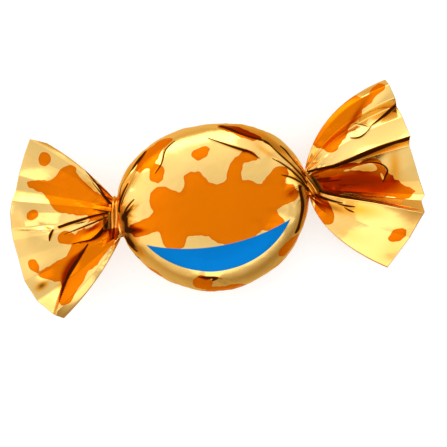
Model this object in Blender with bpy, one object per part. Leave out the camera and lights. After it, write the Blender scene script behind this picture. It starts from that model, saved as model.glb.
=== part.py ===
"""A butter toffee in a gold twist wrapper, lying on its back with its broad face up.

One closed solid: the round, flattened body that the film draws round the toffee,
a gathered twist at each end, and the two pleated fans of film beyond the twists.
The fans are two layers of film pressed together. +X runs from the left fan to the
right one, +Z is up from the face that the sweet rests on, and the origin is the
bottom centre of its box. Metres throughout.
"""
import math

import bmesh
import bpy

MM = 0.001

# Body: the toffee and the film drawn over it.
BODY_LENGTH = 27.8 * MM
BODY_WIDTH = 24.1 * MM
BODY_HEIGHT = 13.2 * MM
BODY_CENTRE = (-0.35 * MM, -0.65 * MM)
BODY_SQUARENESS = 2.7
REST_SINK = 0.12 * MM
SEAM = 0.15 * MM

# Twists: how wide and how thick the film is where it is gathered.
TWIST_CENTRE_Y = 0.35 * MM
TWIST_THICKNESS = 3.4 * MM
TWIST_RIDGES = 5
RIDGE_HEIGHT = 0.55 * MM
RIDGE_REACH = 3.2 * MM
RIDGE_SLANT = 0.9 * MM

# Fans: two films pressed together, with pleats that fade away from the twist.
FAN_THICKNESS = 0.7 * MM
GATHER_FADE = 0.09
PLEAT_COUNT = 6
PLEAT_HEIGHT = 0.8 * MM
PLEAT_FADE = 0.3

# Mesh: stations along the sweet, and rows across it. The folds lie on rows.
BODY_STATIONS = 38
FAN_STATIONS = 15
ROWS = 32

# Each fan: x and width of its twist, the points that bow its lower and upper sides, and
# its folds, from the lower tip to the upper one. A fold is its place across the fan, from
# -1 to 1, the x and y where it meets the cut edge of the film, and its height there.
# Between folds the film is flat, so its cut edge is straight. Millimetres.
LEFT_FAN = {
    "twist_x": -14.45,
    "twist_width": 5.7,
    "lower_bow": (-18.5, -8.35),
    "upper_bow": (-18.05, 9.0),
    "folds": [(-1.0, -24.6, -12.6, 1.0), (-0.875, -25.9, -11.7, 1.8), (-0.75, -28.1, -9.4, 0.2),
              (-0.5, -29.3, -6.3, 0.5), (-0.3125, -29.7, -2.9, -0.2), (-0.125, -30.0, -0.2, -0.4),
              (0.0, -30.05, 1.5, -1.5), (0.125, -29.6, 3.9, 0.4), (0.25, -29.0, 5.4, 1.1),
              (0.375, -28.3, 6.9, -0.6), (0.5, -27.5, 8.9, 0.0), (0.6875, -25.9, 11.9, 1.1),
              (0.875, -24.85, 13.8, 0.9), (1.0, -22.65, 12.85, 0.2)],
}
RIGHT_FAN = {
    "twist_x": 13.5,
    "twist_width": 3.9,
    "lower_bow": (14.3, -8.0),
    "upper_bow": (16.85, 11.05),
    "folds": [(-1.0, 23.0, -13.8, -1.6), (-0.75, 26.8, -10.0, -0.1), (-0.4375, 29.25, -6.6, 2.2),
              (-0.3125, 29.35, -5.0, 0.3), (-0.25, 30.05, -4.3, -0.3), (-0.0625, 29.9, -2.2, -1.2),
              (0.3125, 29.3, 3.3, -1.8), (0.375, 29.15, 4.4, 1.5), (0.625, 28.7, 7.4, 0.9),
              (0.75, 28.3, 9.2, -0.4), (0.8125, 28.05, 10.2, 1.4), (0.9375, 27.55, 12.3, 1.7),
              (1.0, 27.25, 13.2, 0.8)],
}


def mix(low, high, share):
    return low + (high - low) * share


def power_mean(values, power):
    """A soft maximum of the values: the larger the power, the tighter the join."""
    return sum(value ** power for value in values) ** (1 / power)


def cut_edge(folds, across):
    """The place and height of the film's cut edge, across the fan."""
    for (v0, *start), (v1, *end) in zip(folds, folds[1:]):
        if across <= v1:
            return [mix(a, b, (across - v0) / (v1 - v0)) * MM for a, b in zip(start, end)]
    raise ValueError("across is past the last fold")


def body_share(x):
    """How far along the body x is: -1 and 1 are its ends."""
    return max(-1.0, min(1.0, (x - BODY_CENTRE[0]) / (BODY_LENGTH / 2)))


def half_width(x, twist_width):
    ellipse = BODY_WIDTH / 2 * math.sqrt(1 - body_share(x) ** 2)
    return power_mean([ellipse, twist_width / 2], 4)


def centre_line(x):
    return mix(BODY_CENTRE[1], TWIST_CENTRE_Y, body_share(x) ** 2)


def half_height(x, across):
    """Half the thickness of the body, or of the gathered film at its ends."""
    lengthwise = body_share(x)
    crosswise = math.sin(across * math.pi / 2)
    radius = math.sqrt(lengthwise ** 2 + (1 - lengthwise ** 2) * crosswise ** 2)
    dome = BODY_HEIGHT / 2 * max(0.0, 1 - radius ** BODY_SQUARENESS) ** (1 / BODY_SQUARENESS)
    gathered = TWIST_THICKNESS / 2 * math.cos(across * math.pi / 2)
    return power_mean([dome, max(gathered, 0.0)], 3)


def ridge(x, across, side, distance):
    """Ridges of gathered film that slant over a twist and fade into the body."""
    slant = side * x / RIDGE_SLANT
    wave = 0.5 + 0.5 * math.cos(math.pi * TWIST_RIDGES * across * 2 + slant)
    edge = math.cos(across * math.pi / 2)
    return RIDGE_HEIGHT * wave * edge * math.exp(-distance / RIDGE_REACH)


def body_point(x, across, side, fan):
    width = half_width(x, fan["twist_width"] * MM)
    y = centre_line(x) + width * math.sin(across * math.pi / 2)
    distance = abs(x - fan["twist_x"] * MM)
    rise = half_height(x, across) + ridge(x, across, side, distance) + SEAM
    middle = BODY_HEIGHT / 2 - REST_SINK
    return x, y, max(0.0, middle + side * rise)


def fan_point(reach, across, side, fan):
    """A point of a fan. reach is 0 at the twist and 1 at the cut edge of the film."""
    end = math.copysign(1, across)
    start = body_point(fan["twist_x"] * MM, across, side, fan)
    twist_end = body_point(fan["twist_x"] * MM, end, side, fan)
    edge, tip = cut_edge(fan["folds"], across), cut_edge(fan["folds"], end)
    bow = fan["lower_bow" if across < 0 else "upper_bow"]
    place = []
    for axis in (0, 1):
        sideways = bow[axis] * MM - (twist_end[axis] + tip[axis]) / 2
        control = (start[axis] + edge[axis]) / 2 + sideways * across ** 2
        near, far = mix(start[axis], control, reach), mix(control, edge[axis], reach)
        place.append(mix(near, far, reach))
    gather = math.exp(-reach / GATHER_FADE)
    rise = mix(FAN_THICKNESS / 2, abs(start[2] - (BODY_HEIGHT / 2 - REST_SINK)), gather)
    pleat = PLEAT_HEIGHT * math.sin(math.pi * PLEAT_COUNT * across) * math.exp(-reach / PLEAT_FADE)
    pleat *= min(1.0, reach / GATHER_FADE)
    middle = BODY_HEIGHT / 2 - REST_SINK + reach * edge[2] + pleat
    return place[0], place[1], middle + side * rise


def sweet_point(station, across, side):
    """Where a point of the flat plate goes. station counts from the left cut edge."""
    left_twist, right_twist = LEFT_FAN["twist_x"] * MM, RIGHT_FAN["twist_x"] * MM
    if station < FAN_STATIONS:
        return fan_point((1 - station / FAN_STATIONS) ** 1.2, across, side, LEFT_FAN)
    if station > FAN_STATIONS + BODY_STATIONS:
        beyond = (station - FAN_STATIONS - BODY_STATIONS) / FAN_STATIONS
        return fan_point(beyond ** 1.2, across, side, RIGHT_FAN)
    share = (station - FAN_STATIONS) / BODY_STATIONS
    eased = (1 - math.cos(share * math.pi)) / 2
    x = mix(left_twist, right_twist, mix(share, eased, 0.7))
    return body_point(x, across, side, LEFT_FAN if share < 0.5 else RIGHT_FAN)


def foil_material():
    material = bpy.data.materials.new("gold_film")
    material.use_nodes = True
    shader = material.node_tree.nodes["Principled BSDF"]
    shader.inputs["Base Color"].default_value = (0.87, 0.53, 0.15, 1)
    shader.inputs["Metallic"].default_value = 1
    shader.inputs["Roughness"].default_value = 0.22
    return material


def wrapped_toffee(collection):
    """A flat plate of two layers, joined all round, and then drawn into the sweet's shape."""
    stations = 2 * FAN_STATIONS + BODY_STATIONS
    shape = bmesh.new()
    bmesh.ops.create_grid(shape, x_segments=stations, y_segments=ROWS, size=1)
    top = bmesh.ops.extrude_face_region(shape, geom=shape.faces[:])["geom"]
    sides = {vertex: -1 for vertex in shape.verts}
    sides.update({piece: 1 for piece in top if isinstance(piece, bmesh.types.BMVert)})
    for vertex, side in sides.items():
        station = round((vertex.co.x + 1) / 2 * stations)
        vertex.co = sweet_point(station, round(vertex.co.y * ROWS / 2) * 2 / ROWS, side)
    bmesh.ops.recalc_face_normals(shape, faces=shape.faces[:])
    mesh = bpy.data.meshes.new("wrapped_toffee")
    shape.to_mesh(mesh)
    shape.free()
    mesh.shade_smooth()
    mesh.set_sharp_from_angle(angle=math.radians(35))
    mesh.materials.append(foil_material())
    collection.objects.link(bpy.data.objects.new("wrapped_toffee", mesh))


for old in list(bpy.data.objects):
    bpy.data.objects.remove(old)
butter_toffee = bpy.data.collections.new("butter_toffee")
bpy.context.scene.collection.children.link(butter_toffee)
wrapped_toffee(butter_toffee)
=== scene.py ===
"""A butter toffee in a printed gold twist wrapper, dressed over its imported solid.

The film is made sleeve by sleeve: over the toffee, then the fan at each end, then the
tight roll of each twist. Lengths are in millimetres until a mesh is finished.
"""
import math
import random

import bmesh
import bpy
import numpy as np
from mathutils import Euler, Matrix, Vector, noise


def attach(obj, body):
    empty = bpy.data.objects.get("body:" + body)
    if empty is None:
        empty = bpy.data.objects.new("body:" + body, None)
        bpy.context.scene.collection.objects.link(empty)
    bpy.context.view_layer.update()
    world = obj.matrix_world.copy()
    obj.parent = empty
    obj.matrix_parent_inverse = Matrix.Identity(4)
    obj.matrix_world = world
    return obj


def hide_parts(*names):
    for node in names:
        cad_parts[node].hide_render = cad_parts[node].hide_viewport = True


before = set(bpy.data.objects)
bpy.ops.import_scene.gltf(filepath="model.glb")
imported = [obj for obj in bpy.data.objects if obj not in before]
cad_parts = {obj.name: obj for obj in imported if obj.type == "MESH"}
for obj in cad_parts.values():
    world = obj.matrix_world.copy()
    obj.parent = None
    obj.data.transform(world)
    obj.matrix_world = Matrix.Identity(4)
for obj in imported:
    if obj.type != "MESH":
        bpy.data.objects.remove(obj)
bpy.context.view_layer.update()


# Body film. The toffee is a flattened round, and one sheet of gold film is drawn over it
# and gathered at both ends. It is made as a flat sleeve of two layers, joined along both
# sides, that is drawn into shape; sharp pleats run out of each twist.
MM = 0.001
BODY_LENGTH = 27.8
BODY_WIDTH = 24.1
BODY_HEIGHT = 13.2
BODY_CENTRE = (-0.35, -0.65)
BODY_SQUARENESS = 2.7
BODY_MIDDLE = 6.48
TWIST_CENTRE_Y = 0.35
TWIST_THICKNESS = 3.4
LEFT_TWIST = {"x": -14.45, "width": 5.7, "facing": 1, "pleats": 13, "seed": 5}
RIGHT_TWIST = {"x": 13.5, "width": 3.9, "facing": -1, "pleats": 12, "seed": 9}


def mix(low, high, share):
    return low + (high - low) * share


def smooth_rise(value, start, end):
    share = np.clip((value - start) / (end - start), 0, 1)
    return share * share * (3 - 2 * share)


def film_sleeve(name, stations, rows):
    """A flat sleeve of two layers, joined all round, and each point's place in it."""
    shape = bmesh.new()
    bmesh.ops.create_grid(shape, x_segments=stations, y_segments=rows, size=1)
    raised = bmesh.ops.extrude_face_region(shape, geom=shape.faces[:])["geom"]
    upper = [piece for piece in raised if isinstance(piece, bmesh.types.BMVert)]
    bmesh.ops.translate(shape, verts=upper, vec=(0, 0, 1))
    bmesh.ops.recalc_face_normals(shape, faces=shape.faces[:])
    mesh = bpy.data.meshes.new(name)
    shape.to_mesh(mesh)
    shape.free()
    places = np.array([vertex.co for vertex in mesh.vertices])
    station = np.rint((places[:, 0] + 1) / 2 * stations).astype(int)
    row = np.rint((places[:, 1] + 1) / 2 * rows).astype(int)
    layer = np.rint(places[:, 2]).astype(int)
    return mesh, (layer, station, row)


def film_grid(stations, rows):
    """Lengthwise share, place across from -1 to 1, and side, for both layers of a sleeve."""
    length = np.linspace(0, 1, stations + 1)[None, :, None]
    across = np.linspace(-1, 1, rows + 1)[None, None, :]
    side = np.array([-1.0, 1.0])[:, None, None]
    return np.broadcast_arrays(length, across, side)


def noise_field(points, size, seed):
    """Smooth noise from -1 to 1 at points whose last axis holds x, y and z."""
    flat = points.reshape(-1, 3) / size + seed * 7.31
    values = [noise.noise(Vector(point)) for point in flat]
    return np.array(values).reshape(points.shape[:-1])


def crumple(points, size, seed):
    """Film that has been crushed and drawn flat again: smooth facets between sharp lines."""
    total = np.zeros(points.shape[:-1])
    for octave, weight in enumerate((1.0, 0.5, 0.3)):
        total += weight * (0.3 - np.abs(noise_field(points, size / 1.9 ** octave, seed + octave)))
    return total


def smooth_line(points):
    """More points, on a smooth curve through the given ones."""
    points = np.array(points, float)
    first, last = 2 * points[0] - points[1], 2 * points[-1] - points[-2]
    padded = np.vstack([first, points, last])
    share = np.array([[0.0], [1 / 3], [2 / 3]])
    spans = []
    for before, start, end, after in zip(padded, padded[1:], padded[2:], padded[3:]):
        slope, sag = end - before, 2 * before - 5 * start + 4 * end - after
        swing = 3 * start - before - 3 * end + after
        spans.append(start + (slope * share + sag * share ** 2 + swing * share ** 3) / 2)
    return np.vstack(spans + [points[-1]])


def lap(x, y, height, points):
    """A lap, where one pleat lies over the next: a gentle rise up to a line, and a drop on the
    line's right, with painted shade. The line's points hold x, y and the width of that shade.
    Returns its height, the distance to the edge of the painted shade, and the soft painted shade round it."""
    line = smooth_line(points)
    runs = np.diff(line[:, :2], axis=0)
    lengths = np.hypot(runs[:, 0], runs[:, 1])
    starts = np.concatenate([[0], np.cumsum(lengths)])
    nearest = np.full(x.shape, 1e6)
    sideways, along = np.zeros(x.shape), np.zeros(x.shape)
    for (from_x, from_y, _), (run_x, run_y), run, begun in zip(line, runs, lengths, starts):
        share = np.clip(((x - from_x) * run_x + (y - from_y) * run_y) / run ** 2, 0, 1)
        away = np.hypot(x - from_x - share * run_x, y - from_y - share * run_y)
        turn = (y - from_y) * run_x - (x - from_x) * run_y
        closer = away < nearest
        nearest = np.where(closer, away, nearest)
        sideways = np.where(closer, np.copysign(away, turn), sideways)
        along = np.where(closer, begun + share * run, along)
    progress = along / starts[-1]
    ends = smooth_rise(progress, 0.0, 0.35) * (1 - smooth_rise(progress, 0.7, 1.0))
    tips = smooth_rise(progress, 0.0, 0.05) * (1 - smooth_rise(progress, 0.92, 1.0))
    drop = 0.22 + 0.2 * height
    gentle = np.exp(-np.maximum(sideways, 0) / ((0.4 + 2.0 * height) * (0.3 + 0.7 * ends)))
    steep = np.clip(1 + sideways / drop, 0, 1)
    width = np.interp(along, starts, line[:, 2]) * tips
    core = width * mix(0.75, 0.4, smooth_rise(width, 0.6, 1.0))
    edge = np.maximum(sideways - 0.02, -sideways - core) + 0.3 * (1 - tips)
    apart = np.where(sideways < 0, -sideways / (1.4 * width + 0.1), sideways / 0.12)
    soft = (1 - smooth_rise(apart, 0, 1)) * smooth_rise(width, 0.1, 0.5)
    return height * np.where(sideways > 0, gentle, steep) * ends, edge, soft


def all_laps(x, y, laps):
    """The heights of laps added up, the nearest edge of any painted shade line, and the deepest soft
    painted shade.
    """
    heights, edges, softs = zip(*[lap(x, y, *one) for one in laps])
    return sum(heights), np.min(edges, axis=0), np.max(softs, axis=0)


def blurred_spots(x, y, spots):
    """Soft round spots, each with its x, y, two half widths, turn in degrees and strength."""
    total = np.zeros(x.shape)
    for centre_x, centre_y, half_long, half_short, turn, strength in spots:
        cosine, sine = math.cos(math.radians(turn)), math.sin(math.radians(turn))
        along = ((x - centre_x) * cosine + (y - centre_y) * sine) / half_long
        aside = ((y - centre_y) * cosine - (x - centre_x) * sine) / half_short
        total += strength * np.exp(-(along ** 2 + aside ** 2))
    return total


def twist_pleats(x, y, twist):
    """Pleats that run out of a twist into the body, each of its own length and height.
    Returns their height, and the shade on their steep sides, 0 to 1."""
    pick = random.Random(twist["seed"])
    reach = np.hypot(x - twist["x"], y - TWIST_CENTRE_Y)
    angle = np.arctan2(y - TWIST_CENTRE_Y, (x - twist["x"]) * twist["facing"])
    total, shade = np.zeros(x.shape), np.zeros(x.shape)
    for number in range(twist["pleats"]):
        place = math.radians(mix(-80, 80, (number + pick.uniform(0.15, 0.85)) / twist["pleats"]))
        width = math.radians(pick.uniform(4, 10))
        length = pick.uniform(1.6, 5.5)
        height = pick.uniform(0.15, 0.45)
        bend = math.radians(pick.uniform(-8, 8))
        away = (angle - place - bend * reach / length) / width
        profile = np.where(away > 0, np.exp(-away * 1.2), np.clip(1 + away * 2.5, 0, 1))
        fade = smooth_rise(reach, 0.2, 1.6) * (1 - smooth_rise(reach, length * 0.25, length))
        total += height * profile * fade
        dark = np.clip(1 - np.abs(away + 0.3) / 0.4, 0, 1)
        shade = np.maximum(shade, dark * (1 - smooth_rise(reach, length * 0.2, length * 0.75)))
    return total, shade


def surface_normals(places):
    """Outward normals of both layers, from the grid's own neighbours."""
    lengthwise = np.gradient(places, axis=1)
    crosswise = np.gradient(places, axis=2)
    normals = np.cross(lengthwise, crosswise)
    normals /= np.maximum(np.linalg.norm(normals, axis=-1, keepdims=True), 1e-9)
    normals[0] *= -1
    return normals


def body_outline(x, twist_width):
    share = np.clip((x - BODY_CENTRE[0]) / (BODY_LENGTH / 2), -1, 1)
    ellipse = BODY_WIDTH / 2 * np.sqrt(1 - share ** 2)
    return share, (ellipse ** 4 + (twist_width / 2) ** 4) ** 0.25


def body_film(length, across, side):
    """Where the film over the toffee lies."""
    eased = mix(length, (1 - np.cos(length * math.pi)) / 2, 0.7)
    x = mix(LEFT_TWIST["x"], RIGHT_TWIST["x"], eased)
    twist_width = np.where(length < 0.5, LEFT_TWIST["width"], RIGHT_TWIST["width"])
    share, width = body_outline(x, twist_width)
    crosswise = np.sin(across * math.pi / 2)
    y = mix(BODY_CENTRE[1], TWIST_CENTRE_Y, share ** 2) + width * crosswise
    radius = np.sqrt(share ** 2 + (1 - share ** 2) * crosswise ** 2)
    dome = BODY_HEIGHT / 2 * np.maximum(0, 1 - radius ** BODY_SQUARENESS) ** (1 / BODY_SQUARENESS)
    gathered = TWIST_THICKNESS / 2 * np.cos(across * math.pi / 2)
    rise = (dome ** 3 + np.maximum(gathered, 0) ** 3) ** (1 / 3)
    return np.stack([x, y, BODY_MIDDLE + side * rise], axis=-1)


def film_lengths(places):
    """How far each point of the flat film lies along and across it, from its middle."""
    steps = np.linalg.norm(np.diff(places, axis=2), axis=-1)
    across = np.concatenate([np.zeros(places.shape[:2] + (1,)), np.cumsum(steps, axis=2)], axis=2)
    across -= across[:, :, across.shape[2] // 2][:, :, None]
    return places[..., 0], across + places[:, :, places.shape[2] // 2, 1][:, :, None]


def splash(x, y, blots, join=0.5, wobble=0.42, seed=3):
    """Distance to a splash's edge, below 0 inside it. A blot is x, y, two half widths and a turn."""
    total = np.zeros(x.shape)
    for centre_x, centre_y, half_long, half_short, turn in blots:
        cosine, sine = math.cos(math.radians(turn)), math.sin(math.radians(turn))
        along = (x - centre_x) * cosine + (y - centre_y) * sine
        aside = (y - centre_y) * cosine - (x - centre_x) * sine
        away = (np.sqrt((along / half_long) ** 2 + (aside / half_short) ** 2) - 1) * half_short
        total += np.exp(-away / join)
    flat = np.stack([x, y, np.zeros(x.shape)], axis=-1)
    ripple = noise_field(flat, 1.9, seed) + 0.4 * noise_field(flat, 0.8, seed + 1)
    return -join * np.log(np.maximum(total, 1e-12)) + wobble * ripple


def finish_film(mesh, places, grid_index, fields, name):
    """Puts a sleeve's points in place and stores its print and its shade."""
    mesh.vertices.foreach_set("co", (places[grid_index] * MM).astype(np.float32).ravel())
    for field, values in fields.items():
        attribute = mesh.attributes.new(field, "FLOAT", "POINT")
        attribute.data.foreach_set("value", values[grid_index].astype(np.float32))
    mesh.update()
    drawn = bmesh.new()
    drawn.from_mesh(mesh)
    bmesh.ops.remove_doubles(drawn, verts=drawn.verts[:], dist=1e-7)
    bmesh.ops.recalc_face_normals(drawn, faces=drawn.faces[:])
    drawn.to_mesh(mesh)
    drawn.free()
    mesh.shade_smooth()
    piece = bpy.data.objects.new(name, mesh)
    bpy.context.scene.collection.objects.link(piece)
    mesh.materials.append(printed_film)
    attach(piece, "root")
    return piece


class Signal:
    """A shader socket that takes part in arithmetic. Each operation adds its Math node."""

    def __init__(self, tree, socket):
        self.tree = tree
        self.socket = socket

    def node(self, kind, settings=None, **sockets):
        made = self.tree.nodes.new(kind)
        for setting, value in (settings or {}).items():
            setattr(made, setting, value)
        for socket, value in sockets.items():
            self.plug(made.inputs[socket.replace("_", " ")], value)
        return made

    def plug(self, socket, value):
        if isinstance(value, Signal):
            self.tree.links.new(value.socket, socket)
        else:
            socket.default_value = value

    def math(self, operation, other=0.0, swapped=False):
        made = self.tree.nodes.new("ShaderNodeMath")
        made.operation = operation
        pair = (other, self) if swapped else (self, other)
        for socket, value in zip(made.inputs, pair):
            self.plug(socket, value)
        return Signal(self.tree, made.outputs[0])

    def __add__(self, other):
        return self.math("ADD", other)

    def __sub__(self, other):
        return self.math("SUBTRACT", other)

    def __rsub__(self, other):
        return self.math("SUBTRACT", other, swapped=True)

    def __mul__(self, other):
        return self.math("MULTIPLY", other)

    def __truediv__(self, other):
        return self.math("DIVIDE", other)

    __radd__ = __add__
    __rmul__ = __mul__

    def times(self, colour):
        """This colour, multiplied by another one."""
        made = self.node("ShaderNodeVectorMath", {"operation": "MULTIPLY"})
        for socket, value in zip(made.inputs, (self, colour)):
            self.plug(socket, value)
        return Signal(self.tree, made.outputs[0])

    def clamped(self):
        return self.math("MINIMUM", 1.0).math("MAXIMUM", 0.0)

    def blend(self, low, high):
        """A colour between low and high, where this signal is the share of high."""
        made = self.node("ShaderNodeMix", {"data_type": "RGBA"})
        colours = [socket for socket in made.inputs if socket.type == "RGBA"]
        self.plug(made.inputs[0], self)
        for socket, value in zip(colours, (low, high)):
            self.plug(socket, value)
        return Signal(self.tree, next(output for output in made.outputs if output.type == "RGBA"))


GOLD = (0.95, 0.59, 0.16, 1)
PALE_GOLD = (0.97, 0.67, 0.24, 1)
ORANGE_INK = (0.84, 0.20, 0.001, 1)
DEEP_ORANGE_INK = (0.70, 0.14, 0.001, 1)
BLUE_INK = (0.002, 0.19, 0.6, 1)
# The colour painted in as shade at the darkest folds.
PAINTED_FOLD_SHADE = (0.045, 0.009, 0.001, 1)
# Softness of the print's edges and of the painted shade along the laps, the width of the ink's deeper rim,
# and the stored value at which painted fold shade is full.
PRINT_EDGE = 0.035
LAP_EDGE = 0.07
INK_RIM = 0.5
FULL_SHADE = 0.4


def film_material():
    """Gold-metallised film, printed with clear orange ink and a band of denser blue."""
    material = bpy.data.materials.new("printed_gold_film")
    material.use_nodes = True
    tree = material.node_tree
    shader = tree.nodes["Principled BSDF"]
    start = Signal(tree, None)
    place = start.node("ShaderNodeTexCoord").outputs["Object"]

    def stored(field):
        return Signal(tree, start.node("ShaderNodeAttribute", {"attribute_name": field}).outputs["Fac"])

    def cloudy(scale, detail):
        made = start.node("ShaderNodeTexNoise", Scale=scale, Detail=detail)
        tree.links.new(place, made.inputs["Vector"])
        return Signal(tree, made.outputs["Fac"])

    orange = (0.5 - stored("orange_distance") / PRINT_EDGE).clamped()
    blue = (0.5 - stored("blue_distance") / PRINT_EDGE).clamped()
    drift = cloudy(170.0, 3.0)
    gold = drift.blend(GOLD, PALE_GOLD)
    rim = (stored("orange_distance") / INK_RIM + 1.0).clamped()
    ink = (rim * 0.45 + cloudy(120.0, 2.0) * 0.3).clamped().blend(ORANGE_INK, DEEP_ORANGE_INK)
    colour = blue.blend(orange.blend(gold, ink), BLUE_INK)
    # Painted reflection: where the stored fold shade is weak, the colour is tinted towards its own square,
    # as if the film mirrored itself in its folds.
    shade = stored("fold_shade") / FULL_SHADE
    mirrored = colour.times(colour).times(0.95 - orange * 0.4)
    tinted = shade.clamped().blend(colour, mirrored)
    # Painted shade: along the laps' lines, and where the stored fold shade passes full, the colour is
    # painted towards the dark fold shade.
    lapped = (0.5 - stored("lap_distance") / LAP_EDGE).clamped()
    depth = 1.0 - (1.0 - lapped) * (1.0 - ((shade - 1.0) / 1.5).clamped())
    start.plug(shader.inputs["Base Color"], depth.blend(tinted, PAINTED_FOLD_SHADE))
    # Where that painted shade lies, the film is made less metal so that it stays dark at a slant.
    start.plug(shader.inputs["Metallic"], (1.0 - blue * 0.4 - orange * 0.2) * (1.0 - depth))
    start.plug(shader.inputs["Roughness"], 0.16 + orange * 0.08 + blue * 0.2 + drift * 0.05)
    shader.inputs["Specular IOR Level"].default_value = 0.0
    shader.inputs["Specular Tint"].default_value = (1.0, 0.78, 0.45, 1)
    bump = start.node("ShaderNodeBump", Strength=0.12, Distance=0.0001)
    start.plug(bump.inputs["Height"], cloudy(900.0, 4.0))
    tree.links.new(bump.outputs["Normal"], shader.inputs["Normal"])
    return material


printed_film = film_material()

BODY_STATIONS = 230
BODY_ROWS = 210
# Broad crumples grow towards the twists, fine ones lie beside them, others round the sides.
CRUMPLE_SIZE = 5.0
CRUMPLE_HEIGHTS = (0.06, 0.16)
CRUMPLE_FADE = 3.0
NECK_CRUMPLE_SIZE = 1.8
NECK_CRUMPLE_HEIGHT = 0.16
NECK_CRUMPLE_FADE = 2.0
SIDE_CRUMPLE_HEIGHT = 0.3
# Shares of the pleats' height on the front and the back, and of a fold's along x, y and z.
PLEAT_SHARES = (0.7, 1.3)
FOLD_LIFT = (0.35, 0.35, 1.0)
LEAST_HEIGHT = 0.01
# Each lap: its height, and its line as x, y and the width of its painted shade.
BODY_LAPS = [
    (0.9, [(14.4, -1.2, 0.3), (12.5, 1.3, 0.5), (11.3, 2.9, 0.5), (10.1, 4.5, 0.7), (9.2, 5.8, 0.9),
           (8.5, 6.8, 0.8), (7.7, 7.3, 0.7), (6.2, 8.0, 0.8), (4.7, 8.9, 0.8), (3.0, 10.1, 0.5),
           (1.5, 11.0, 0.2)]),
    (0.25, [(0.1, 9.4, 0.15), (3.2, 7.6, 0.3), (4.9, 6.7, 0.4), (6.0, 6.1, 0.3), (7.6, 4.5, 0.15)]),
    (0.4, [(14.6, -0.4, 0.4), (13.1, 1.6, 0.35), (12.0, 3.3, 0.3), (11.3, 4.6, 0.25), (10.8, 5.6, 0.1)]),
    (0.5, [(13.9, -1.3, 0.4), (12.3, 0.7, 0.4), (11.0, 2.3, 0.35), (9.7, 3.7, 0.25), (8.4, 4.9, 0.1)]),
    (0.35, [(13.4, -1.0, 0.35), (11.9, 0.6, 0.35), (10.7, 1.5, 0.3), (9.3, 2.2, 0.1)]),
    (0.4, [(10.1, -6.6, 0.2), (10.8, -5.4, 0.8), (11.4, -3.9, 1.3), (11.8, -2.4, 1.5), (11.8, -0.9, 1.3),
           (11.7, 0.6, 0.4)]),
    (0.5, [(-11.6, 5.0, 0.15), (-12.3, 3.8, 0.5), (-13.3, 2.1, 0.7), (-13.8, 0.7, 0.5)]),
    (0.3, [(-11.1, 2.5, 0.15), (-12.3, 1.4, 0.4), (-13.1, 0.5, 0.4)]),
    (0.2, [(-11.3, 1.8, 0.1), (-12.9, 0.2, 0.25)]),
    (0.35, [(-12.7, 0.2, 0.3), (-12.9, -1.1, 0.9), (-13.3, -2.2, 0.5)]),
    (0.35, [(-14.3, -2.2, 0.4), (-13.8, -3.4, 0.5), (-12.9, -4.9, 0.4), (-11.9, -6.2, 0.1)]),
    (0.3, [(-13.6, -2.2, 0.4), (-13.0, -3.6, 0.5), (-12.0, -5.1, 0.15)]),
    (0.3, [(13.9, 0.4, 0.3), (12.9, 2.0, 0.3), (11.9, 3.7, 0.3), (11.0, 5.3, 0.4), (10.1, 6.7, 0.2)]),
    (0.3, [(12.9, 0.9, 0.2), (11.4, 2.9, 0.3), (10.1, 4.5, 0.3), (9.0, 6.1, 0.3), (7.6, 7.4, 0.1)]),
    (0.25, [(-3.9, 9.7, 0.15), (-5.6, 8.5, 0.25), (-6.5, 6.6, 0.25), (-8.1, 5.1, 0.1)]),
    (0.35, [(-13.9, 1.6, 0.2), (-12.9, 4.4, 0.1), (-11.6, 5.9, 0.05), (-10.5, 7.2, 0.3), (-9.4, 8.3, 0.35),
            (-8.0, 9.4, 0.1)]),
    (0.3, [(-13.4, 1.8, 0.2), (-12.2, 3.6, 0.1), (-11.1, 5.2, 0.05), (-9.7, 6.9, 0.0)]),
    (0.35, [(5.2, 8.9, 0.0), (2.0, 10.2, 0.0), (-0.9, 10.7, 0.0), (-3.5, 10.3, 0.0), (-6.4, 9.2, 0.0)]),
    (0.3, [(-4.6, -9.9, 0.1), (-2.8, -10.2, 0.6), (-1.5, -10.6, 0.6), (-2.8, -11.1, 0.2)]),
]
# The free edge of the sheet runs along the underside, from one twist to the other.
BACK_SEAM = [(-14.0, 1.4, 0.2), (-8.0, 2.8, 0.2), (0.0, 3.3, 0.2), (8.0, 2.6, 0.2), (13.3, 1.0, 0.2)]
# A low lap along that edge, with a thin line of painted shade.
BACK_LAPS = [(0.2, BACK_SEAM)]
# Each spot of soft painted shade beside a fold, a painted reflection tint where it is weak: x, y, two half
# widths, turn in degrees and strength.
BODY_SPOTS = [
    (8.2, 5.6, 1.9, 0.35, -47, 0.35), (11.6, 1.3, 1.7, 0.5, -48, 0.5), (10.8, -0.6, 1.0, 0.6, 20, 0.35),
    (-10.9, 5.1, 1.3, 0.3, 51, 0.35), (-13.2, -0.8, 0.9, 2.8, 8, 1.0), (12.6, 0.4, 0.5, 1.3, -30, 0.5),
    (12.8, -2.4, 0.5, 2.2, 8, 0.6), (-11.6, 6.2, 0.4, 2.6, -32, 0.4), (-12.4, 3.6, 0.3, 1.6, -28, 0.4),
    (-12.3, 0.9, 1.3, 0.35, 32, 0.9), (-12.0, -1.9, 1.2, 0.35, -12, 0.8), (-12.6, -4.0, 1.9, 0.5, -58, 0.8),
    (11.4, 3.3, 2.0, 0.35, -56, 0.45), (5.8, 9.2, 2.7, 0.8, -33, 0.6), (9.6, 6.5, 2.6, 0.55, -52, 0.6),
]
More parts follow.
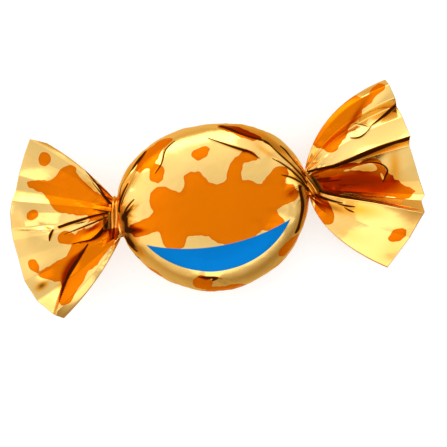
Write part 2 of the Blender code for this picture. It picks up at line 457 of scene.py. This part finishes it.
# Each blot of the orange splash, on the flat film: x, y, two half widths and turn in degrees.
BODY_SPLASH = [
    (-0.6, -0.9, 8.0, 3.4, 2), (7.6, -0.6, 4.2, 1.7, -4), (3.1, 3.1, 2.7, 1.0, 58),
    (-7.1, 1.7, 2.0, 1.6, -24), (-2.6, 3.0, 1.6, 1.6, 100), (-10.3, -1.6, 2.9, 1.1, 12),
    (-6.6, -4.0, 1.6, 1.9, 0), (2.2, -4.8, 3.2, 2.2, 0), (9.4, 2.0, 1.7, 1.0, 24),
    (7.6, -4.2, 2.0, 1.2, -30), (-0.9, 7.2, 1.5, 1.0, 10), (5.9, 5.6, 1.0, 0.8, -30),
    (-7.6, 5.4, 1.0, 1.3, -34), (-7.7, 8.9, 3.7, 1.3, 44), (5.0, 10.2, 3.6, 1.1, -34),
    (-3.9, -11.4, 1.4, 1.6, 15), (-1.5, -14.3, 3.2, 1.3, 4), (9.2, -9.0, 2.0, 1.2, 40),
    (-11.0, -9.6, 1.5, 1.0, -40),
]
# The print goes on round the sides, up to the edges of the sheet.
SIDE_BLOTS = 28
SIDE_BLOT_SPAN = (17, 35)
pick = random.Random(41)
for number in range(SIDE_BLOTS):
    blot_y = mix(*SIDE_BLOT_SPAN, number / SIDE_BLOTS) * (-1) ** number
    half_long = pick.uniform(1.2, 3.6)
    BODY_SPLASH.append((pick.uniform(-12, 12), blot_y, half_long, half_long * 0.5, pick.uniform(0, 180)))
# The centre and radius of each arc of the blue band.
BAND_TOP = ((-0.4, 23.2), 29.4)
BAND_BOTTOM = ((-0.4, 2.6), 12.5)
# The distance stored where no print or lap is near, and the strength of a pleat's shade.
UNPRINTED = 5.0
PLEAT_SHADE = 0.85


def blue_band(x, y):
    """A plain crescent between two arcs, printed across the lower part of the front."""
    (top_x, top_y), top_radius = BAND_TOP
    (low_x, low_y), low_radius = BAND_BOTTOM
    above = top_radius - np.hypot(x - top_x, y - top_y)
    below = np.hypot(x - low_x, y - low_y) - low_radius
    return np.maximum(above, below)


length, across, side = film_grid(BODY_STATIONS, BODY_ROWS)
places = body_film(length, across, side)
x, y = places[..., 0], places[..., 1]
front = side > 0
front_laps, back_laps = all_laps(x, y, BODY_LAPS), all_laps(x, y, BACK_LAPS)
fold, lap_edge, lap_shade = [np.where(front, *pair) for pair in zip(front_laps, back_laps)]
left_pleats, left_shade = twist_pleats(x, y, LEFT_TWIST)
right_pleats, right_shade = twist_pleats(x, y, RIGHT_TWIST)
fold = fold + (left_pleats + right_pleats) * np.where(front, *PLEAT_SHARES)
from_twist = np.minimum(x - LEFT_TWIST["x"], RIGHT_TWIST["x"] - x)
broad_height = mix(*CRUMPLE_HEIGHTS, np.exp(-from_twist / CRUMPLE_FADE))
fold = fold + crumple(places, CRUMPLE_SIZE, seed=11) * broad_height
near_twist = np.exp(-from_twist / NECK_CRUMPLE_FADE)
fold = fold + crumple(places, NECK_CRUMPLE_SIZE, seed=17) * NECK_CRUMPLE_HEIGHT * near_twist
fold = fold * np.clip(3 * np.sqrt(np.maximum(0, 1 - across ** 2)), 0, 1)
fold = fold * smooth_rise(from_twist, 0.1, 1.0)
normals = surface_normals(places)
steep = 1 - smooth_rise(np.abs(normals[..., 2]), 0.2, 0.75)
drawn_in = crumple(places, CRUMPLE_SIZE, seed=23) * SIDE_CRUMPLE_HEIGHT * steep
drawn_in = drawn_in * smooth_rise(from_twist, 0.3, 3.0)
outward = places[..., :2] - np.array(BODY_CENTRE)
outward = outward / np.maximum(np.linalg.norm(outward, axis=-1, keepdims=True), 0.1)
places = places + normals * np.array(FOLD_LIFT) * fold[..., None]
places[..., :2] += outward * drawn_in[..., None]
places[..., 2] = np.maximum(places[..., 2], LEAST_HEIGHT)
flat_x, flat_y = film_lengths(places)
seam = smooth_line(BACK_SEAM)
upper_flap = y > np.interp(x, seam[:, 0], seam[:, 1])
round_side = np.where(upper_flap, flat_y[:, :, -1:].sum(axis=0), flat_y[:, :, :1].sum(axis=0))
printed_y = np.where(front, flat_y, round_side - flat_y)
# The fold shade is painted shade: along the pleats out of the twists, along the laps, and in soft spots on
# the front.
fields = {
    "orange_distance": splash(flat_x, printed_y, BODY_SPLASH),
    "blue_distance": np.where(front, blue_band(flat_x, flat_y), UNPRINTED),
    "lap_distance": lap_edge,
    "fold_shade": np.max([left_shade * PLEAT_SHADE, right_shade * PLEAT_SHADE, lap_shade,
                          np.where(front, blurred_spots(x, y, BODY_SPOTS), 0)], axis=0),
}
mesh, grid_index = film_sleeve("body_film", BODY_STATIONS, BODY_ROWS)
body_piece = finish_film(mesh, places, grid_index, fields, "body_film")
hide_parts("wrapped_toffee")


# Fans. Beyond each twist the two layers of film spread into a fan. Its folds are straight
# lines from the twist to the cut edge, because flat film that is gathered at one end can
# only bend into a cone; short pleats fade out near the twist, and the cut end is open.
FAN_STATIONS = 180
FAN_ROWS = 240
MOUTH_STATIONS = 4
MOUTH_DEPTH = 0.12
GATHER_FADE = 0.09
FILM_THICKNESS = 0.05
WAVE_SIZE = 6.0
WAVE_HEIGHT = 0.5
CREASE_SIZE = 9.0
CREASE_HEIGHT = 0.12
CRUSH_SIZE = 2.0
CRUSH_HEIGHT = 0.26
CRUSH_FADE = 0.2
# A fan's fold: its place across, the x and y of its end on the cut edge, and that end's height.
# Laps, spots of painted shade and splash are written as on the body, and gaps are blots that the print
# leaves bare.
LEFT_FAN = {
    "twist": LEFT_TWIST,
    "lower_bow": (-18.5, -8.35),
    "upper_bow": (-18.05, 9.0),
    "folds": [(-1.0, -24.6, -12.6, 1.0), (-0.875, -25.9, -11.7, 1.8), (-0.75, -28.1, -9.4, 0.2),
              (-0.5, -29.3, -6.3, 0.5), (-0.3125, -29.7, -2.9, -0.2), (-0.125, -30.0, -0.2, -0.4),
              (0.0, -30.05, 1.5, -1.1), (0.125, -29.6, 3.9, 0.2), (0.25, -29.0, 5.4, 0.8),
              (0.375, -28.3, 6.9, 0.0), (0.5, -27.5, 8.9, 0.1), (0.6875, -25.9, 11.9, 1.1),
              (0.875, -24.85, 13.8, 0.9), (1.0, -22.65, 12.85, 0.2)],
    "laps": [
        (0.7, [(-23.6, 0.6, 0.5), (-21.8, 0.9, 0.5), (-19.9, 1.1, 0.45), (-17.9, 1.3, 0.3),
               (-15.3, 1.4, 0.3), (-13.6, 1.3, 0.3)]),
        (0.3, [(-22.9, -0.7, 0.1), (-20.1, -0.1, 0.2), (-17.8, 0.4, 0.25), (-15.5, 0.9, 0.25)]),
        (0.7, [(-21.9, -2.2, 0.15), (-20.2, -2.1, 0.2), (-18.7, -2.0, 0.35), (-17.4, -1.2, 0.8),
               (-16.0, 0.0, 1.2), (-15.2, 1.0, 0.5)]),
        (0.9, [(-18.9, -2.2, 0.1), (-20.2, -3.8, 0.5), (-21.3, -5.1, 1.2), (-22.8, -6.8, 1.2),
               (-23.8, -8.4, 0.5), (-25.2, -11.2, 0.05), (-26.5, -14.0, 0.0)]),
        (0.3, [(-24.9, -1.3, 0.2), (-24.6, -0.3, 0.45), (-23.9, 0.5, 0.2)]),
        (0.35, [(-18.2, 8.7, 0.15), (-16.4, 5.7, 0.3), (-15.6, 3.8, 0.3), (-14.6, 2.2, 0.3)]),
        (0.25, [(-17.2, 6.2, 0.1), (-16.0, 4.2, 0.25), (-14.8, 2.0, 0.3)]),
        (0.3, [(-31.0, 1.6, 0.0), (-28.0, 1.1, 0.0), (-25.6, 0.5, 0.0), (-22.9, 0.4, 0.0)]),
        (0.3, [(-17.8, 2.3, 0.1), (-15.3, 1.4, 0.3), (-14.3, 1.0, 0.3)]),
    ],
    # Each dent: x, y, two half widths, turn in degrees and height, below 0 where it sinks.
    "dents": [(-18.3, -0.6, 2.4, 1.0, 8, -0.5), (-27.6, 2.2, 1.5, 1.9, 0, 0.5),
              (-26.6, -5.0, 2.0, 1.6, 20, 0.4), (-25.4, 9.6, 2.4, 2.0, -30, 0.4)],
    "spots": [(-27.0, -7.4, 0.9, 0.5, 25, 0.9), (-24.1, -7.9, 0.7, 0.4, 20, 0.6),
              (-18.2, -0.5, 1.6, 0.4, 20, 0.45), (-15.6, -1.4, 0.8, 1.2, 0, 0.5),
              (-17.4, 5.6, 1.6, 0.4, -50, 0.4)],
    "gaps": [(-18.6, 0.0, 1.5, 0.3, 18), (-17.5, 6.1, 2.5, 0.6, -54)],
    "splash": [(-18.5, 4.3, 4.6, 2.4, 142), (-21.6, 4.6, 2.6, 1.8, 150), (-24.6, 6.8, 2.4, 0.7, 152),
               (-20.6, 7.9, 1.3, 0.9, 20), (-23.4, 10.5, 0.8, 1.1, -30), (-19.2, -3.4, 4.4, 2.2, 35),
               (-22.2, -7.4, 4.2, 1.3, 52), (-23.5, -5.3, 3.4, 1.3, 18), (-27.7, -4.2, 0.7, 0.9, 20),
               (-26.6, 2.9, 0.8, 0.6, 10), (-22.6, -1.2, 1.0, 0.7, 10), (-18.2, -0.4, 1.4, 0.7, 20)],
    "seed": 21,
}
RIGHT_FAN = {
    "twist": RIGHT_TWIST,
    "lower_bow": (14.3, -8.0),
    "upper_bow": (16.85, 11.05),
    "folds": [(-1.0, 23.0, -13.8, -1.6), (-0.75, 26.8, -10.0, -0.1), (-0.4375, 29.25, -6.6, 2.2),
              (-0.3125, 29.35, -5.0, 0.3), (-0.25, 30.05, -4.3, -0.3), (-0.0625, 29.9, -2.2, -1.2),
              (0.3125, 29.3, 3.3, -1.8), (0.375, 29.15, 4.4, 1.5), (0.625, 28.7, 7.4, 0.9),
              (0.75, 28.3, 9.2, -0.4), (0.8125, 28.05, 10.2, 1.4), (0.9375, 27.55, 12.3, 1.7),
              (1.0, 27.25, 13.2, 0.8)],
    "laps": [
        (0.7, [(13.0, 2.1, 0.4), (15.8, 2.3, 0.4), (17.4, 2.35, 0.5), (18.9, 2.5, 0.9),
               (20.6, 2.95, 1.4), (22.4, 3.4, 1.6), (25.5, 3.95, 1.3), (29.2, 4.4, 0.6), (34.0, 5.2, 0.5)]),
        (0.5, [(23.9, 6.9, 0.1), (25.4, 7.8, 0.4), (27.0, 8.8, 0.8), (28.6, 9.75, 1.2), (31.0, 11.3, 1.2)]),
        (0.2, [(20.6, 5.9, 0.2), (22.0, 5.7, 0.3), (23.2, 6.2, 0.2), (24.4, 7.3, 0.1)]),
        (0.15, [(21.6, 7.9, 0.1), (23.0, 7.4, 0.2), (23.9, 6.8, 0.1)]),
        (0.8, [(33.0, -8.2, 0.1), (29.5, -6.9, 0.1), (25.9, -5.5, 0.12), (22.5, -4.1, 0.2),
               (19.9, -3.2, 0.45), (17.9, -2.5, 0.9), (15.8, -1.6, 1.0), (13.4, -0.2, 0.6)]),
        (0.35, [(13.6, -0.8, 0.4), (15.7, -2.1, 0.4), (17.2, -2.9, 0.3), (18.4, -3.4, 0.1)]),
        (0.04, [(17.2, -3.2, 0.1), (18.6, -3.75, 0.35), (19.9, -4.2, 0.1)]),
        (0.04, [(18.1, -3.9, 0.1), (18.9, -4.5, 0.3), (19.6, -5.0, 0.1)]),
        (0.3, [(20.2, 1.4, 0.0), (22.0, 1.95, 0.12), (23.7, 1.8, 0.2), (25.0, 1.2, 0.25),
               (25.6, 0.2, 0.3), (25.0, -0.8, 0.3), (24.2, -1.9, 0.1)]),
    ],
    "dents": [(18.6, -0.2, 5.2, 2.3, -9, -1.1), (21.6, -7.4, 3.4, 2.4, -20, 0.7),
              (25.6, 9.9, 2.6, 1.2, 35, 0.5)],
    "spots": [(17.8, -0.5, 4.6, 1.9, -9, 0.48), (23.4, -1.5, 4.2, 1.9, -12, 0.45),
              (26.7, 0.9, 0.8, 2.3, -8, 0.4), (16.4, -3.6, 1.8, 0.4, -35, 0.4),
              (22.0, 8.6, 2.6, 0.4, 48, 0.35), (15.4, 4.0, 0.5, 1.6, -15, 0.4),
              (19.4, -4.5, 4.2, 1.0, -18, 0.4), (22.3, 1.0, 1.8, 0.6, -8, 0.27),
              (24.2, -11.4, 4.2, 2.0, 45, 0.16), (28.0, -6.6, 1.4, 2.2, 20, 0.16),
              (18.6, -8.2, 2.4, 1.2, -35, 0.14)],
    "gaps": [(21.5, 1.2, 1.4, 0.2, -2), (23.0, 1.0, 0.8, 0.35, -14), (24.6, -0.6, 0.15, 0.5, 12)],
    "splash": [(18.0, 7.2, 3.0, 2.4, 48), (21.3, 9.6, 2.9, 1.5, 38), (25.2, 11.4, 1.4, 0.6, 30),
               (18.0, 0.2, 4.4, 2.0, -4), (22.2, -0.8, 3.8, 2.0, -8), (25.6, -2.9, 2.6, 1.0, -14),
               (22.8, 1.2, 1.7, 0.9, 8), (15.2, -4.2, 1.2, 2.2, 15), (25.4, -9.2, 1.6, 1.0, 30)],
    "seed": 34,
}


def cut_edge(folds, across):
    """The place and height of the film's cut edge, across the fan."""
    table = np.array(folds)
    return [np.interp(across, table[:, 0], table[:, column]) for column in (1, 2, 3)]


def short_pleats(reach, across, seed, count=9):
    """Pleats that start at the twist and run out before the cut edge, each with its length.
    Returns their height, and the shade on their steep sides, 0 to 1."""
    pick = random.Random(seed)
    total, shade = np.zeros(reach.shape), np.zeros(reach.shape)
    for number in range(count):
        place = mix(-0.95, 0.95, (number + pick.uniform(0.2, 0.8)) / count)
        width = pick.uniform(0.03, 0.085)
        length = pick.uniform(0.12, 0.42)
        depth = pick.uniform(0.3, 0.8)
        lean = pick.uniform(-0.06, 0.06)
        away = (across - place - lean * reach) / width
        profile = np.where(away > 0, np.clip(1 - away * 0.7, 0, 1), np.clip(1 + away * 2.2, 0, 1))
        fade = smooth_rise(reach, 0.0, 0.05) * (1 - smooth_rise(reach, length * 0.15, length))
        total -= depth * profile * fade
        dark = np.clip(1 - np.abs(away + 0.25) / 0.45, 0, 1)
        shade = np.maximum(shade, dark * (1 - smooth_rise(reach, length * 0.1, length * 0.6)))
    return total, shade


def fan_film(reach, across, side, fan):
    """The middle of a fan's two layers, and half their distance. reach is 1 at the cut edge."""
    twist = fan["twist"]
    end = np.where(across < 0, -1.0, 1.0)
    edge, tip = cut_edge(fan["folds"], across), cut_edge(fan["folds"], end)
    start_y = TWIST_CENTRE_Y + twist["width"] / 2 * np.sin(across * math.pi / 2)
    end_y = TWIST_CENTRE_Y + twist["width"] / 2 * end
    starts, ends = (twist["x"], start_y), (twist["x"], end_y)
    place = []
    for axis in (0, 1):
        bow = np.where(across < 0, fan["lower_bow"][axis], fan["upper_bow"][axis])
        sideways = bow - (ends[axis] + tip[axis]) / 2
        control = (starts[axis] + edge[axis]) / 2 + sideways * across ** 2
        near, far = mix(starts[axis], control, reach), mix(control, edge[axis], reach)
        place.append(mix(near, far, reach))
    gathered = TWIST_THICKNESS / 2 * np.maximum(np.cos(across * math.pi / 2), 0)
    opening = (0.14 + 0.22 * reach ** 4) * np.sqrt(np.maximum(1 - across ** 8, 0))
    apart = mix(opening, gathered, np.exp(-reach / GATHER_FADE))
    return place[0], place[1], BODY_MIDDLE + reach * edge[2], apart


def make_fan(fan, name):
    """One fan. Its last stations turn back inside, so that the open cut end has a depth."""
    stations = FAN_STATIONS + MOUTH_STATIONS
    length, across, side = film_grid(stations, FAN_ROWS)
    station = np.rint(length * stations)
    inside = np.maximum(station - FAN_STATIONS - 1, 0) / (MOUTH_STATIONS - 1)
    reach = np.minimum(station / FAN_STATIONS, 1) ** 1.1 - MOUTH_DEPTH * inside
    x, y, height, apart = fan_film(reach, across, side, fan)
    pleats, pleat_shade = short_pleats(reach, across, fan["seed"])
    laps, lap_edge, lap_shade = all_laps(x, y, fan["laps"])
    flat = np.stack([x, y, np.zeros(x.shape)], axis=-1)
    waves = noise_field(flat, WAVE_SIZE, fan["seed"]) * WAVE_HEIGHT
    waves = waves + crumple(flat, CREASE_SIZE, fan["seed"]) * CREASE_HEIGHT
    waves = waves * smooth_rise(reach, 0.0, 0.25)
    crushed = crumple(flat, CRUSH_SIZE, fan["seed"] + 5) * CRUSH_HEIGHT * np.exp(-reach / CRUSH_FADE)
    crushed = crushed * smooth_rise(reach, 0.0, 0.04)
    height = height + pleats + laps + waves + crushed + blurred_spots(x, y, fan["dents"])
    outer = station <= FAN_STATIONS
    apart = np.where(outer, apart + FILM_THICKNESS, apart * (1 - inside) + 0.01)
    places = np.stack([x, y, height + side * apart], axis=-1)
    # Painted shade along the laps and the pleats and in soft spots, weaker on the underside.
    shades = [lap_shade * 0.9, pleat_shade * 0.8, blurred_spots(x, y, fan["spots"])]
    printed_y = np.where(side > 0, y, -y)
    orange = splash(x, printed_y, fan["splash"], seed=fan["seed"])
    fields = {
        "orange_distance": np.maximum(orange, -splash(x, printed_y, fan["gaps"], join=0.3, wobble=0.3)),
        "blue_distance": np.full(x.shape, UNPRINTED),
        "lap_distance": lap_edge,
        "fold_shade": np.max(shades, axis=0) * np.where(side > 0, 1, 0.6),
    }
    mesh, grid_index = film_sleeve(name, stations, FAN_ROWS)
    piece = finish_film(mesh, places, grid_index, fields, name)
    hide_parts("wrapped_toffee")


make_fan(LEFT_FAN, "left_fan")
make_fan(RIGHT_FAN, "right_fan")


# Twist rolls. Where it is twisted shut, the film is wound into a short, tight roll of
# strands that run round the neck. Each roll hides where the body and the fan meet.
STRAND_DEPTH = 0.45
STRAND_WANDER = 1.3
FINE_DEPTH = 0.12
ROLLS = [
    {"name": "left_twist", "twist": LEFT_TWIST, "centre": -14.8, "half_length": 1.15, "slant": 0.15,
     "strands": 3, "orange_below": -1.4, "turn": 1, "seed": 2},
    {"name": "right_twist", "twist": RIGHT_TWIST, "centre": 13.55, "half_length": 1.0, "slant": -0.4,
     "strands": 3, "orange_below": -1.7, "turn": -1, "seed": 7},
]
ROLL_SEGMENTS = 160
ROLL_CUTS = 39


def make_roll(roll):
    """A closed drum, drawn in at both ends and ridged by strands that wind round it."""
    shape = bmesh.new()
    bmesh.ops.create_cone(shape, segments=ROLL_SEGMENTS, radius1=1, radius2=1, depth=2, cap_ends=True)
    lengthwise = [edge for edge in shape.edges if abs(edge.verts[0].co.z - edge.verts[1].co.z) > 1]
    bmesh.ops.subdivide_edges(shape, edges=lengthwise, cuts=ROLL_CUTS)
    mesh = bpy.data.meshes.new(roll["name"])
    shape.to_mesh(mesh)
    shape.free()
    unit = np.array([vertex.co for vertex in mesh.vertices])
    around, along = np.arctan2(unit[:, 1], unit[:, 0]), unit[:, 2]
    unit[:, 2] *= 1.5
    phase = math.pi * (roll["strands"] * (along + 1) / 2 + roll["turn"] * around / math.pi)
    phase = phase + STRAND_WANDER * noise_field(unit, 0.8, roll["seed"])
    strand = np.abs(np.sin(phase))
    proud = STRAND_DEPTH * strand + FINE_DEPTH * noise_field(unit, 0.5, roll["seed"] + 3)
    half_width = (roll["twist"]["width"] / 2 - 0.05 + proud) * (1 - 0.2 * along ** 2)
    half_height = (TWIST_THICKNESS / 2 + 0.15 + proud) * (1 - 0.75 * along ** 2)
    y = half_width * np.cos(around)
    x = roll["centre"] + along * roll["half_length"] + y * roll["slant"]
    places = np.stack([x, TWIST_CENTRE_Y + y, BODY_MIDDLE + half_height * np.sin(around)], axis=-1)
    # Painted shade: dark in the valleys between strands, in noisy patches all over, and towards both ends,
    # where the roll meets the body and the fan.
    valley = np.clip(1.15 - strand * 2.0, 0, 1) * 0.95
    patchy = 0.35 + 0.35 * noise_field(unit, 1.1, roll["seed"] + 5)
    shade = np.maximum(np.maximum(valley, patchy), 0.85 * smooth_rise(np.abs(along), 0.4, 0.9))
    fields = {
        "orange_distance": y - roll["orange_below"],
        "blue_distance": np.full(y.shape, UNPRINTED),
        "lap_distance": np.full(y.shape, UNPRINTED),
        "fold_shade": shade,
    }
    piece = finish_film(mesh, places, slice(None), fields, roll["name"])
    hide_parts("wrapped_toffee")


for roll in ROLLS:
    make_roll(roll)


# Floor, light and camera. A pale table, a wide soft light from above and behind the left
# end, and a camera that looks straight down, turned so that the right end is the higher.
FLOOR_SIZE = 6.0
CAMERA_TURN = math.radians(-10.2)
CAMERA_LENS = 110
SENSOR = 36.0
VIEW_WIDTH = 65.0 * MM
VIEW_CENTRE = (0.53 * MM, -3.19 * MM)


def floor_plane():
    shape = bmesh.new()
    bmesh.ops.create_grid(shape, x_segments=1, y_segments=1, size=FLOOR_SIZE)
    mesh = bpy.data.meshes.new("floor")
    shape.to_mesh(mesh)
    shape.free()
    floor = bpy.data.objects.new("floor", mesh)
    bpy.context.scene.collection.objects.link(floor)
    material = bpy.data.materials.new("pale_table")
    material.use_nodes = True
    shader = material.node_tree.nodes["Principled BSDF"]
    shader.inputs["Base Color"].default_value = (0.62, 0.66, 0.70, 1)
    shader.inputs["Roughness"].default_value = 0.9
    shader.inputs["Emission Color"].default_value = (1, 1, 1, 1)
    shader.inputs["Emission Strength"].default_value = 0.5
    mesh.materials.append(material)
    floor.visible_glossy = False


def studio_world():
    """White to the camera; to the film, a bright ceiling that darkens towards the ground."""
    world = bpy.data.worlds.new("studio")
    bpy.context.scene.world = world
    world.use_nodes = True
    tree = world.node_tree
    tree.nodes.clear()
    start = Signal(tree, None)
    direction = start.node("ShaderNodeTexCoord").outputs["Generated"]
    split = start.node("ShaderNodeSeparateXYZ")
    tree.links.new(direction, split.inputs[0])
    up = Signal(tree, split.outputs["Z"])
    ramp = start.node("ShaderNodeValToRGB")
    start.plug(ramp.inputs[0], up * 0.5 + 0.5)
    stops = [(0.0, (0.8, 0.68, 0.48)), (0.36, (0.68, 0.52, 0.3)), (0.46, (0.56, 0.40, 0.19)),
             (0.53, (0.58, 0.43, 0.22)), (0.62, (0.82, 0.70, 0.52)), (0.75, (1.08, 1.02, 0.93)),
             (0.9, (1.02, 1.0, 0.97)), (1.0, (0.84, 0.84, 0.85))]
    while len(ramp.color_ramp.elements) < len(stops):
        ramp.color_ramp.elements.new(0.5)
    for element, (position, colour) in zip(ramp.color_ramp.elements, stops):
        element.position = position
        element.color = (*colour, 1)
    seen = start.node("ShaderNodeBackground", Color=(1, 1, 1, 1), Strength=1.0)
    mirrored = start.node("ShaderNodeBackground")
    leftward, rearward = Signal(tree, split.outputs["X"]) * -0.25, Signal(tree, split.outputs["Y"]) * 0.25
    start.plug(mirrored.inputs["Strength"], 1.0 + leftward + rearward)
    tree.links.new(ramp.outputs["Color"], mirrored.inputs["Color"])
    chooser = start.node("ShaderNodeMixShader")
    tree.links.new(start.node("ShaderNodeLightPath").outputs["Is Camera Ray"], chooser.inputs[0])
    tree.links.new(mirrored.outputs[0], chooser.inputs[1])
    tree.links.new(seen.outputs[0], chooser.inputs[2])
    tree.links.new(chooser.outputs[0], start.node("ShaderNodeOutputWorld").inputs["Surface"])


def soft_light(name, place, aim, size, power):
    light = bpy.data.lights.new(name, "AREA")
    light.shape = "RECTANGLE"
    light.size, light.size_y = size
    light.energy = power
    lamp = bpy.data.objects.new(name, light)
    lamp.location = place
    lamp.rotation_euler = (Vector(aim) - Vector(place)).to_track_quat("-Z", "Y").to_euler()
    bpy.context.scene.collection.objects.link(lamp)


floor_plane()
studio_world()
soft_light("back_strip", (-0.05, 0.50, 0.20), (0, 0, 0), (0.75, 0.22), 0.9)
soft_light("front_box", (0.10, -0.45, 0.45), (0, 0, 0), (0.9, 0.35), 0.8)
camera_data = bpy.data.cameras.new("camera")
camera_data.lens = CAMERA_LENS
camera_data.sensor_width = SENSOR
camera = bpy.data.objects.new("camera", camera_data)
bpy.context.scene.collection.objects.link(camera)
distance = VIEW_WIDTH * CAMERA_LENS / SENSOR
camera.location = (*VIEW_CENTRE, distance + BODY_MIDDLE * MM)
camera.rotation_euler = Euler((0, 0, CAMERA_TURN))
bpy.context.scene.camera = camera
bpy.context.scene.view_settings.view_transform = "Standard"
